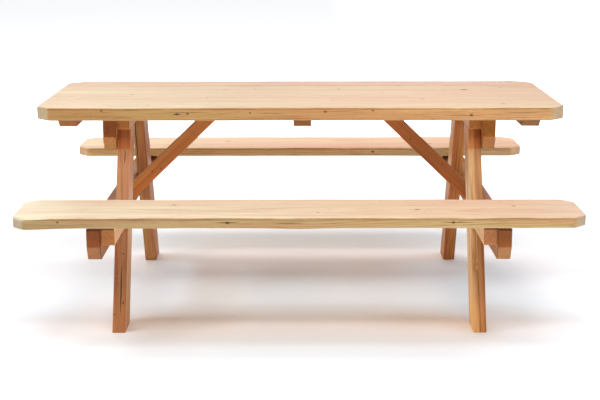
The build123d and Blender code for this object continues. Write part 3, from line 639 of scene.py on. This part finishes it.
        # on a front leg, head paints the shade that the top and the rail cast on its upper end
        mat = wood("wood_leg_%s_%s" % (ename, name), ((x0 + x1) / 2, mid_y, 327), up, across, tones["early"], tones["late"], tones["tint"],
                   tones["tint2"], spacing=8.0, pith=(75, 44 * (1 if sd % 2 else -1)), slope=(0.012, 0.01), contrast=0.26 if (end, side) == (-1, 1) else 0.46, patch=0.9,
                   streak=0.28 if (end, side) == (-1, 1) else 0.45, seed=sd * 0.29, saw=0.7, wave=10, knots=kn, checks=ch, bump=0.5, gain=LEG_GAIN[(end, side)], side=LEG_SIDE[(end, side)],
                   drift=LEG_DRIFT[(end, side)], half=360.0, head=(261.0, (0.92, 0.68, 0.50)) if end < 0 else None,
                   split=(2, 2.0, 3.5, (1.40, 1.75, 2.00)) if (end, side) == (-1, 1) else (2, 5.0, 3.0, (1.10, 1.12, 1.10)))
        finish_piece(ob, "leg_%s_%s" % (ename, name), mat)

        def edge(z):
            return 525 - 0.44 * z
        ob = board("timber_seat_block_%s_%s" % (ename, name), 337.0,
                   lambda t, x0=x0, x1=x1: (x0 + 0 * t, x1 + 0 * t, 350 + 0 * t, BENCH_LOW - 14 * np.clip((t - 121) / 11.8, 0, 1)), plain(1.8),
                   lambda t, a, b, end=end: (a, end * (692 - t / 337.0 * (692 - (525 - 0.44 * b))), b), step=12, end_round=2.6,
                   sides=(4, 5), rough=0.3, seed=sd + 2, breaks=(121, 127, 132.8))
        # the block's sawn ends are painted with shade along their top and along the edge against the crossbeam
        # the block's upward-facing top faces are painted with the deep shade of the recess under the bench
        mat = wood("wood_seat_block_%s_%s" % (ename, name), ((x0 + x1) / 2, end * 525, 385), (0, 1, 0), (0, 0, 1), (188, 116, 74), (140, 76, 42),
                   (196, 104, 66), (202, 142, 92), spacing=4.2, pith=(-36, 34 * side), slope=(0.01, 0.0), contrast=0.6, patch=0.5, streak=0.5,
                   seed=sd * 0.41, saw=0.8, bump=0.55, knots=[("z", 40, -6, 20, 3.5)], gain=GAIN["block"], pore=0.9,
                   endtone=(0.78, 0.58, 0.40) if side < 0 else (0.82, 0.62, 0.55), lid_shade=(0.22, 0.12, 0.08), joint_shade=(16.5, 20.6, side, (0.34, 0.26, 0.20)))
        finish_piece(ob, "seat_block_%s_%s" % (ename, name), mat)

    # diagonal brace: its foot is cut upright against the crossbeam, its head level under the top
    run, reach = 1.041, math.sqrt(1 + 1.041 ** 2)

    def diag(t, a, b, side=side):
        h = b * reach
        foot = BOTTOM - (379.8 - h) / run
        z = foot + t / 480.0 * (BOTTOM - foot)
        return side * (255.2 + h + run * (BOTTOM - z)), a, z
    ob = board("timber_brace_" + name, 480.0, lambda t: (-35 + 0 * t, 35 + 0 * t, 0 * t, 68 / reach + 0 * t), plain(2.0), diag,
               step=12, end_round=1.4, sides=(6, 5), rough=0.35, seed=s + 9)
    g = Vector((-side * run, 0, 1)).normalized()
    mat = wood("wood_brace_" + name, (side * 475, 0, 520), g, (0, 1, 0), (166, 98, 58), (120, 60, 32), (178, 92, 54), (184, 124, 76), spacing=4.6,
               pith=(20, 60), slope=(0.01, 0.014), contrast=0.72, patch=0.7, streak=0.65, seed=s * 0.71, saw=0.7, bump=0.5, gain=GAIN["brace"][0 if side < 0 else 1],
               knots=[("y", 90 * side, -35, 4, 2.5), ("y", -60, -35, -10, 2.2)])
    finish_piece(ob, "brace_" + name, mat)


# ------------------------------------------------------------------ zinc hardware
def zinc(name, tone, seed, stain=(0.50, 0.51, 0.52)):
    mat = bpy.data.materials.new(name)
    mat.use_nodes = True
    mat.node_tree.nodes.clear()
    t = Tree(mat.node_tree)
    out = t.add("ShaderNodeOutputMaterial")
    bsdf = t.add("ShaderNodeBsdfPrincipled")
    t.put(out.inputs["Surface"], bsdf.outputs[0])
    tc = t.add("ShaderNodeTexCoord")
    P = t.v("ADD", t.v("MULTIPLY", tc.outputs["Object"], (1000, 1000, 1000)), (seed, seed * 2, seed * 3))
    vor = t.add("ShaderNodeTexVoronoi", feature="F1")
    t.put(vor.inputs["Vector"], P)
    vor.inputs["Scale"].default_value = 0.32
    spangle = t.xyz(vor.outputs["Color"])[0]
    dull = t.noise(t.v("MULTIPLY", P, (0.22, 0.22, 0.22)), 4.0, 0.6).outputs[0]
    grit = t.noise(t.v("MULTIPLY", P, (2.4, 2.4, 2.4)), 3.0, 0.6).outputs[0]
    c = t.mix(spangle, tuple(v * 0.86 for v in tone) + (1,), tone + (1,))
    c = t.mix(t.smooth(dull, 0.48, 0.70), c, tuple(stain) + (1,))
    t.put(bsdf.inputs["Base Color"], c)
    bsdf.inputs["Metallic"].default_value = 1.0
    t.put(bsdf.inputs["Roughness"], t.m("ADD", 0.34, t.m("ADD", t.m("MULTIPLY", spangle, 0.12), t.m("MULTIPLY", dull, 0.24))))
    b = t.add("ShaderNodeBump")
    b.inputs["Strength"].default_value = 0.35
    b.inputs["Distance"].default_value = 0.0004
    t.put(b.inputs["Height"], t.m("ADD", t.m("MULTIPLY", grit, 0.5), t.m("MULTIPLY", spangle, 0.25)))
    t.put(bsdf.inputs["Normal"], b.outputs[0])
    return mat


zinc_screw, zinc_washer = zinc("zinc_screw", (0.66, 0.67, 0.69), 3.0), zinc("zinc_washer", (0.72, 0.73, 0.74), 11.0)
dark_screw = zinc("dark_screw", (0.055, 0.048, 0.042), 19.0, (0.030, 0.024, 0.020))
for name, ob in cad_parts.items():
    if name.endswith("screws") or name.endswith("washers"):
        mat = zinc_washer if name.endswith("washers") else dark_screw if name == "block_inner_screws" else zinc_screw
        ob.data.materials.clear()
        ob.data.materials.append(mat)

# ------------------------------------------------------------------ floor, light, camera
bpy.ops.mesh.primitive_plane_add(size=60, location=(0, 8, -0.0004))
floor = bpy.context.object
floor.name = "floor"
fm = bpy.data.materials.new("studio_floor")
fm.use_nodes = True
ft = Tree(fm.node_tree)
fb = fm.node_tree.nodes["Principled BSDF"]
ftc = ft.add("ShaderNodeTexCoord")
fp = ft.v("ADD", ftc.outputs["Object"], (0.0, 8.0, 0.0))
fn = ft.noise(ft.v("MULTIPLY", fp, (1.3, 1.3, 1.3)), 3.0)
ft.put(fb.inputs["Base Color"], ft.mix(fn.outputs[0], (0.85, 0.868, 0.875, 1), (0.89, 0.908, 0.915, 1)))
fb.inputs["Roughness"].default_value = 0.6
fb.inputs["Specular IOR Level"].default_value = 0.2
# the sweep glows beyond the table, as a lit white cove does; the weaker glow towards the right end is painted light
# that lifts the floor's shadows there
fq = ft.xyz(fp)
away = ft.m("SQRT", ft.m("ADD", ft.m("POWER", ft.m("MULTIPLY", fq[0], 0.62), 2.0), ft.m("POWER", fq[1], 2.0)))
ft.put(fb.inputs["Emission Color"], (1, 1, 1, 1))
ft.put(fb.inputs["Emission Strength"], ft.m("ADD", ft.smooth(away, 1.5, 3.4, 0.0, 0.8), ft.smooth(fq[0], 0.35, 0.95, 0.0, 0.12)))
floor.data.materials.append(fm)

world = bpy.data.worlds.new("studio")
bpy.context.scene.world = world
world.use_nodes = True
bg = world.node_tree.nodes["Background"]
ENV, LEVEL, HEIGHT = (0.15, 0.153, 0.1575), 0.93, 3.2
bg.inputs[0].default_value = tuple(v / 0.88 for v in ENV) + (1,)
bg.inputs[1].default_value = LEVEL

# Panels in the ceiling: x, y, size along x, size along y (m), and how bright each makes a white floor under it
LAMPS = [(0.15, -1.77, 3.09, 1.23, (0.550, 0.643, 0.705)), (-3.29, -2.19, 0.73, 0.86, (0.080, 0.226, 0.355)),
         (-3.16, -0.44, 0.78, 0.69, (0.252, 0.309, 0.344)), (-1.97, -0.03, 0.69, 0.69, (0.246, 0.213, 0.212)),
         (0.89, 0.02, 0.98, 0.69, (0.196, 0.182, 0.190)), (4.36, -0.58, 4.48, 0.69, (0.459, 0.547, 0.638)),
         (0.40, -3.46, 2.34, 1.55, (0.800, 0.496, 0.312)), (-4.52, -2.87, 1.57, 0.69, (0.223, 0.144, 0.080)),
         (3.75, -3.02, 1.34, 0.69, (0.129, 0.240, 0.306)), (0.04, 6.13, 6.33, 0.69, (0.803, 1.517, 2.051)),
         (-2.49, 3.93, 2.55, 0.69, (0.763, 0.618, 0.511)), (-1.05, 2.45, 0.69, 0.69, (0.156, 0.185, 0.179)),
         (0.81, 3.05, 1.10, 0.69, (0.369, 0.256, 0.196)), (-5.67, -0.43, 1.16, 0.69, (0.703, 0.509, 0.417))]
for k, (lx, ly, sx, sy, v) in enumerate(LAMPS):
    d = bpy.data.lights.new("panel_%02d" % k, "AREA")
    d.shape, d.size, d.size_y = "RECTANGLE", sx, sy
    top = max(v)
    d.color = [c / top for c in v]
    d.energy = top * LEVEL * math.pi ** 2 * HEIGHT ** 2 / 0.88
    o = bpy.data.objects.new("panel_%02d" % k, d)
    o.location = (lx, ly, HEIGHT)
    o.visible_camera = False
    bpy.context.scene.collection.objects.link(o)

cam = bpy.data.objects.new("camera", bpy.data.cameras.new("camera"))
bpy.context.scene.collection.objects.link(cam)
bpy.context.scene.camera = cam
F, TH, YAW, ROLL = 1262.8005, 0.2204, -0.0014, 0.0013
cam.data.sensor_width = 36.0
cam.data.lens = F / 600 * 36.0
cam.data.clip_end = 200
c, s_, ct, st, cr, sr = math.cos(YAW), math.sin(YAW), math.cos(TH), math.sin(TH), math.cos(ROLL), math.sin(ROLL)
right = Vector((cr * c - sr * st * s_, -cr * s_ - sr * st * c, -sr * ct))
upv = Vector((sr * c + cr * st * s_, -sr * s_ + cr * st * c, cr * ct))
fwd = Vector((ct * s_, ct * c, -st))
cam.matrix_world = Matrix(((right.x, upv.x, -fwd.x, 0.0084218), (right.y, upv.y, -fwd.y, -4.6052219),
                           (right.z, upv.z, -fwd.z, 1.3753843), (0, 0, 0, 1)))

vs = bpy.context.scene.view_settings
vs.view_transform = "Standard"
vs.look = "None"

bpy.context.view_layer.update()
